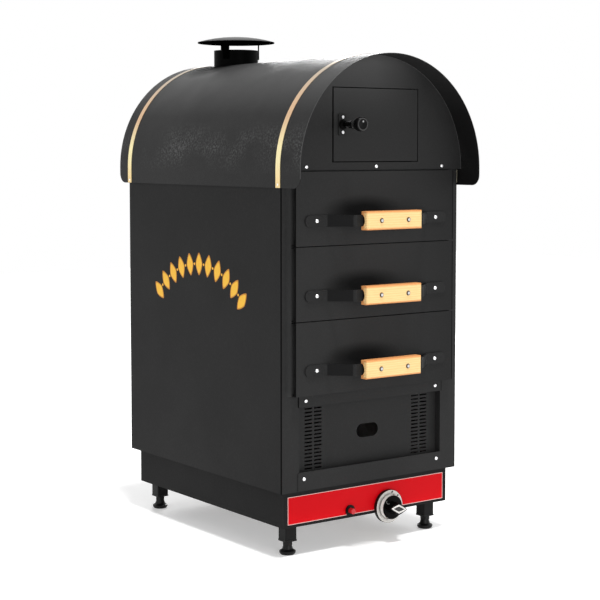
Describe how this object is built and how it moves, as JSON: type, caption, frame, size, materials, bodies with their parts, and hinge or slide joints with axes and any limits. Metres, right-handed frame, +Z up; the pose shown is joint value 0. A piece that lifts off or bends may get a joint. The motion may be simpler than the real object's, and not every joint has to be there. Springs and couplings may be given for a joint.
{
  "type": "baked potato oven",
  "caption": "Gas baked potato oven with a barrel roof, flue cowl, hinged upper door, stacked drawers with wooden grips, vented lower panel and a front control fascia on levelling feet.",
  "frame": {"origin": "on the floor, under the middle of the barrel roof's plan", "axes": "+Z up, the door and drawers face -Y, +X to the right of someone facing the oven"},
  "size_m": [0.512, 0.7694, 1.171],
  "materials": {
    "roof_coat": "fine-grained satin black powder coat",
    "panel_coat": "satin black powder coat",
    "brass_strip": "satin brass",
    "fascia_red": "gloss red enamel",
    "button_red": "gloss red moulding",
    "oven_steel": "aluminised steel sheet",
    "strap_coat": "satin black powder coat on bar steel",
    "zinc": "bright zinc plating",
    "grip_wood": "oiled pale hardwood",
    "bezel_silver": "satin spun steel",
    "black_handle": "gloss black moulding",
    "black_plastic": "moulded black nylon",
    "leg_steel": "satin black",
    "gas_brass": "turned brass",
    "gas_pipe": "drawn tube",
    "burner_steel": "heat-dulled steel",
    "ceramic": "glazed ceramic",
    "mineral_fibre": "mineral fibre"
  },
  "bodies": {
    "cabinet": {"barrel_roof": "roof_coat", "flue_cowl": "roof_coat", "flue_collar": "roof_coat", "cowl_straps": "roof_coat", "side_panel_left": "panel_coat", "side_panel_right": "panel_coat", "back_panel": "panel_coat", "front_frame": "panel_coat", "arch_plate": "panel_coat", "vent_panel": "panel_coat", "lower_cover_strip": "panel_coat", "plinth": "panel_coat", "roof_trim_strips": "brass_strip", "fascia_plate": "fascia_red", "oven_liner_left": "oven_steel", "oven_liner_right": "oven_steel", "oven_liner_rear": "oven_steel", "oven_ceiling": "oven_steel", "cabinet_floor": "oven_steel", "heat_baffle": "oven_steel", "drawer_runners": "oven_steel", "casing_screws": "zinc", "door_pivots": "zinc", "knob_bezel": "bezel_silver", "leg_caps": "black_plastic", "igniter_body": "black_plastic", "leg_tubes": "leg_steel", "gas_tap": "gas_brass", "gas_inlet": "gas_brass", "gas_pipes": "gas_pipe", "burner": "burner_steel", "spark_electrode": "ceramic", "insulation": "mineral_fibre"},
    "drawer_1": {"drawer_1_front": "panel_coat", "drawer_1_tray": "oven_steel", "drawer_1_strap": "strap_coat", "drawer_1_grip": "grip_wood", "drawer_1_fixings": "zinc"},
    "drawer_2": {"drawer_2_front": "panel_coat", "drawer_2_tray": "oven_steel", "drawer_2_strap": "strap_coat", "drawer_2_grip": "grip_wood", "drawer_2_fixings": "zinc"},
    "drawer_3": {"drawer_3_front": "panel_coat", "drawer_3_tray": "oven_steel", "drawer_3_strap": "strap_coat", "drawer_3_grip": "grip_wood", "drawer_3_fixings": "zinc"},
    "upper_door": {"door_panel": "panel_coat", "latch_plate": "strap_coat"},
    "door_latch": {"latch_handle": "black_handle", "latch_cam": "zinc"},
    "tap_carrier": {"spring_washer": "zinc"},
    "tap_knob": {"gas_knob": "black_handle", "tap_spindle": "zinc"},
    "igniter": {"igniter_button": "button_red"},
    "foot_front_left": {"foot_front_left": "black_plastic"},
    "foot_front_right": {"foot_front_right": "black_plastic"},
    "foot_rear_left": {"foot_rear_left": "black_plastic"},
    "foot_rear_right": {"foot_rear_right": "black_plastic"}
  },
  "joints": [
    {"name": "drawer_1_slide", "type": "slide", "parent": "cabinet", "child": "drawer_1", "axis": [0, -1, 0], "range_m": [0, 0.4]},
    {"name": "drawer_2_slide", "type": "slide", "parent": "cabinet", "child": "drawer_2", "axis": [0, -1, 0], "range_m": [0, 0.4]},
    {"name": "drawer_3_slide", "type": "slide", "parent": "cabinet", "child": "drawer_3", "axis": [0, -1, 0], "range_m": [0, 0.4]},
    {"name": "door_hinge", "type": "hinge", "parent": "cabinet", "child": "upper_door", "pos_m": [0.114, -0.313, 0.946], "axis": [0, 0, 1], "range_deg": [0, 100]},
    {"name": "latch_turn", "type": "hinge", "parent": "upper_door", "child": "door_latch", "pos_m": [-0.096, -0.3175, 0.946], "axis": [0, -1, 0], "range_deg": [0, 90]},
    {"name": "tap_push", "type": "slide", "parent": "cabinet", "child": "tap_carrier", "axis": [0, 1, 0], "range_m": [0, 0.004], "stiffness_N_per_m": 2000, "springref_m": -0.002},
    {"name": "tap_turn", "type": "hinge", "parent": "tap_carrier", "child": "tap_knob", "pos_m": [0.0558, -0.2915, 0.0787], "axis": [0, -1, 0], "range_deg": [0, 180]},
    {"name": "igniter_push", "type": "slide", "parent": "cabinet", "child": "igniter", "axis": [0, 1, 0], "range_m": [0, 0.006], "stiffness_N_per_m": 900, "springref_m": -0.002},
    {"name": "foot_front_left_level", "type": "slide", "parent": "cabinet", "child": "foot_front_left", "axis": [0, 0, -1], "range_m": [0, 0.02]},
    {"name": "foot_front_right_level", "type": "slide", "parent": "cabinet", "child": "foot_front_right", "axis": [0, 0, -1], "range_m": [0, 0.02]},
    {"name": "foot_rear_left_level", "type": "slide", "parent": "cabinet", "child": "foot_rear_left", "axis": [0, 0, -1], "range_m": [0, 0.02]},
    {"name": "foot_rear_right_level", "type": "slide", "parent": "cabinet", "child": "foot_rear_right", "axis": [0, 0, -1], "range_m": [0, 0.02]}
  ]
}
